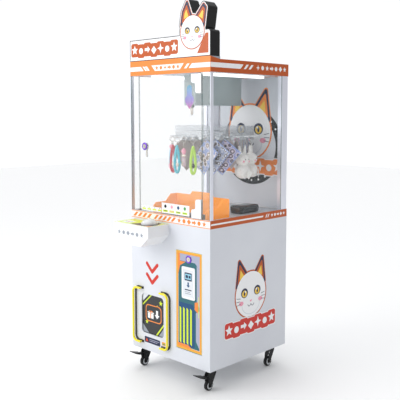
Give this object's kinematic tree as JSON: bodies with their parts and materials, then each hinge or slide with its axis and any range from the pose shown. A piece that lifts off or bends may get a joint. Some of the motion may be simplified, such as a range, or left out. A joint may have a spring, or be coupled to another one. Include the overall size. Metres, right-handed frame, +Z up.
{
  "type": "clip prize machine",
  "caption": "Floor-standing glass-cabin prize machine: a rotating rack of hung prizes, a lowering clip, a push-button console and a prize outlet, on casters.",
  "frame": {"origin": "middle of the bounding box, on the floor under the casters", "axes": "+X right seen from the front, -Y towards the player, +Z up"},
  "size_m": [0.543, 0.6964, 1.793],
  "materials": {
    "white_coat": "powder coat, satin white",
    "inner_white": "white coated sheet, light grey inside the cabin",
    "orange_band": "orange and white printed film on coated steel",
    "bin_steel": "plain galvanised sheet",
    "frame_white": "coated sheet",
    "guard_yellow": "gloss yellow",
    "black_plastic": "black, satin",
    "console_white": "white moulding",
    "console_lime": "lime printed overlay with black wedge",
    "bezel_white": "white ring",
    "dome_clear": "translucent white dome",
    "sign_black": "black sides",
    "sign_white": "printed opal face",
    "silver_trim": "anodised",
    "clear_glass": "clear toughened glass, green edges",
    "steel_pin": "plain steel",
    "fence_orange": "translucent orange acrylic",
    "mech_grey": "light grey coated sheet",
    "badge_print": "teal to magenta print",
    "motor_dark": "dark grey",
    "board_green": "circuit board",
    "supply_steel": "pressed steel case",
    "lamp_white": "opal lamp bars and a dark speaker",
    "fitting_white": "white patch fittings",
    "lock_metal": "nickel lock",
    "door_print": "teal, orange, lime and blue print",
    "plate_white": "white plate with steel screws",
    "flap_print": "dark grey printed flap",
    "rocker_red": "red rocker",
    "rack_clear": "clear acrylic",
    "chain_color": "coloured key chains",
    "card_blue": "blue and purple packs",
    "plush_white": "short white pile",
    "bundle_black": "black film wrap",
    "wheel_grey": "black tread with a grey hub disc",
    "jaw_silver": "bright"
  },
  "bodies": {
    "cabinet": {"base_pan": "white_coat", "side_panel_left": "white_coat", "side_panel_right": "white_coat", "front_panel": "white_coat", "deck_frame": "orange_band", "play_deck": "inner_white", "chute": "bin_steel", "outlet_frame": "frame_white", "guard_rails": "guard_yellow", "guard_backing": "black_plastic", "console_shell": "console_white", "console_top": "console_lime", "button_bezel": "bezel_white", "header_frame": "orange_band", "ceiling_panel": "inner_white", "sign_housing": "sign_black", "sign_face": "sign_white", "corner_posts": "silver_trim", "fixed_panes": "clear_glass", "back_panel": "inner_white", "hinge_pins": "steel_pin", "fence": "fence_orange", "mech_housing": "mech_grey", "badge": "badge_print", "mech_motors": "motor_dark", "power_inlet": "black_plastic", "control_board": "board_green", "power_supply": "supply_steel", "roof_electrics": "lamp_white", "prize_bundle": "bundle_black", "caster_plates": "black_plastic"},
    "door": {"glass_door": "clear_glass", "door_fittings": "fitting_white"},
    "door_lock": {"door_lock": "lock_metal"},
    "service_door": {"service_door": "door_print", "payment_plate": "plate_white"},
    "service_lock": {"service_lock": "lock_metal"},
    "outlet_flap": {"outlet_flap": "flap_print"},
    "rear_door": {"rear_door": "white_coat"},
    "rear_lock": {"rear_lock": "lock_metal"},
    "button": {"button_dome": "dome_clear"},
    "rocker": {"power_rocker": "rocker_red"},
    "carousel": {"prize_rack": "rack_clear", "carousel_column": "silver_trim", "keychains": "chain_color", "card_packs": "card_blue", "plush_prizes": "plush_white"},
    "clip_slider": {"clip_slider": "mech_grey"},
    "jaw_left": {"jaw_left": "jaw_silver"},
    "jaw_right": {"jaw_right": "jaw_silver"},
    "fork_fl": {"caster_fork_fl": "black_plastic"},
    "wheel_fl": {"caster_wheel_fl": "wheel_grey"},
    "fork_fr": {"caster_fork_fr": "black_plastic"},
    "wheel_fr": {"caster_wheel_fr": "wheel_grey"},
    "fork_rl": {"caster_fork_rl": "black_plastic"},
    "wheel_rl": {"caster_wheel_rl": "wheel_grey"},
    "fork_rr": {"caster_fork_rr": "black_plastic"},
    "wheel_rr": {"caster_wheel_rr": "wheel_grey"},
    "pedal_fl": {"caster_pedal_fl": "black_plastic"},
    "pedal_fr": {"caster_pedal_fr": "black_plastic"}
  },
  "joints": [
    {"name": "door_hinge", "type": "hinge", "parent": "cabinet", "child": "door", "pos_m": [0.2015, -0.21065, 1.136], "axis": [0, 0, 1], "range_deg": [0, 110]},
    {"name": "door_lock_turn", "type": "hinge", "parent": "door", "child": "door_lock", "pos_m": [-0.1685, -0.21515, 1.125], "axis": [0, 1, 0], "range_deg": [0, 90]},
    {"name": "service_door_hinge", "type": "hinge", "parent": "cabinet", "child": "service_door", "pos_m": [0.135, -0.21165, 0.1783], "axis": [1, 0, 0], "range_deg": [0, 90]},
    {"name": "service_lock_turn", "type": "hinge", "parent": "service_door", "child": "service_lock", "pos_m": [0.135, -0.21515, 0.611], "axis": [0, 1, 0], "range_deg": [0, 90]},
    {"name": "outlet_flap_hinge", "type": "hinge", "parent": "cabinet", "child": "outlet_flap", "pos_m": [-0.1205, -0.20765, 0.406], "axis": [1, 0, 0], "range_deg": [0, 70]},
    {"name": "rear_door_hinge", "type": "hinge", "parent": "cabinet", "child": "rear_door", "pos_m": [0.2475, 0.33985, 0.469], "axis": [0, 0, -1], "range_deg": [0, 110]},
    {"name": "rear_lock_turn", "type": "hinge", "parent": "rear_door", "child": "rear_lock", "pos_m": [-0.2115, 0.34485, 0.658], "axis": [0, 1, 0], "range_deg": [0, 90]},
    {"name": "button_press", "type": "slide", "parent": "cabinet", "child": "button", "axis": [0, 0, -1], "range_m": [0, 0.004], "stiffness_N_per_m": 600, "springref_m": -0.004},
    {"name": "rocker_tilt", "type": "hinge", "parent": "cabinet", "child": "rocker", "pos_m": [0.1615, 0.34085, 0.166], "axis": [-1, 0, 0], "range_deg": [0, 24]},
    {"name": "carousel_spin", "type": "hinge", "parent": "cabinet", "child": "carousel", "pos_m": [0, 0.09985, 1.156], "axis": [0, 0, 1], "continuous": true},
    {"name": "clip_slide", "type": "slide", "parent": "cabinet", "child": "clip_slider", "axis": [0, 0, -1], "range_m": [0, 0.04]},
    {"name": "jaw_left_open", "type": "hinge", "parent": "clip_slider", "child": "jaw_left", "pos_m": [-0.005, -0.05915, 1.32], "axis": [0, 1, 0], "range_deg": [0, 25]},
    {"name": "jaw_right_open", "type": "hinge", "parent": "clip_slider", "child": "jaw_right", "pos_m": [0.005, -0.05915, 1.32], "axis": [0, 1, 0], "range_deg": [-25, 0]},
    {"name": "swivel_fl", "type": "hinge", "parent": "cabinet", "child": "fork_fl", "pos_m": [-0.2265, -0.15315, 0.093], "axis": [0, 0, 1], "continuous": true},
    {"name": "roll_fl", "type": "hinge", "parent": "fork_fl", "child": "wheel_fl", "pos_m": [-0.2265, -0.17715, 0.025], "axis": [1, 0, 0], "continuous": true},
    {"name": "brake_fl", "type": "hinge", "parent": "fork_fl", "child": "pedal_fl", "pos_m": [-0.2265, -0.17915, 0.06], "axis": [1, 0, 0], "range_deg": [0, 12]},
    {"name": "swivel_fr", "type": "hinge", "parent": "cabinet", "child": "fork_fr", "pos_m": [0.2265, -0.15315, 0.093], "axis": [0, 0, 1], "continuous": true},
    {"name": "roll_fr", "type": "hinge", "parent": "fork_fr", "child": "wheel_fr", "pos_m": [0.2265, -0.17715, 0.025], "axis": [1, 0, 0], "continuous": true},
    {"name": "brake_fr", "type": "hinge", "parent": "fork_fr", "child": "pedal_fr", "pos_m": [0.2265, -0.17915, 0.06], "axis": [1, 0, 0], "range_deg": [0, 12]},
    {"name": "swivel_rl", "type": "hinge", "parent": "cabinet", "child": "fork_rl", "pos_m": [-0.2265, 0.28285, 0.093], "axis": [0, 0, 1], "continuous": true},
    {"name": "roll_rl", "type": "hinge", "parent": "fork_rl", "child": "wheel_rl", "pos_m": [-0.2265, 0.25885, 0.025], "axis": [1, 0, 0], "continuous": true},
    {"name": "swivel_rr", "type": "hinge", "parent": "cabinet", "child": "fork_rr", "pos_m": [0.2265, 0.28285, 0.093], "axis": [0, 0, 1], "continuous": true},
    {"name": "roll_rr", "type": "hinge", "parent": "fork_rr", "child": "wheel_rr", "pos_m": [0.2265, 0.25885, 0.025], "axis": [1, 0, 0], "continuous": true}
  ],
  "couplings": [
    {"joint": "jaw_right_open", "follows": "jaw_left_open", "ratio": -1}
  ]
}
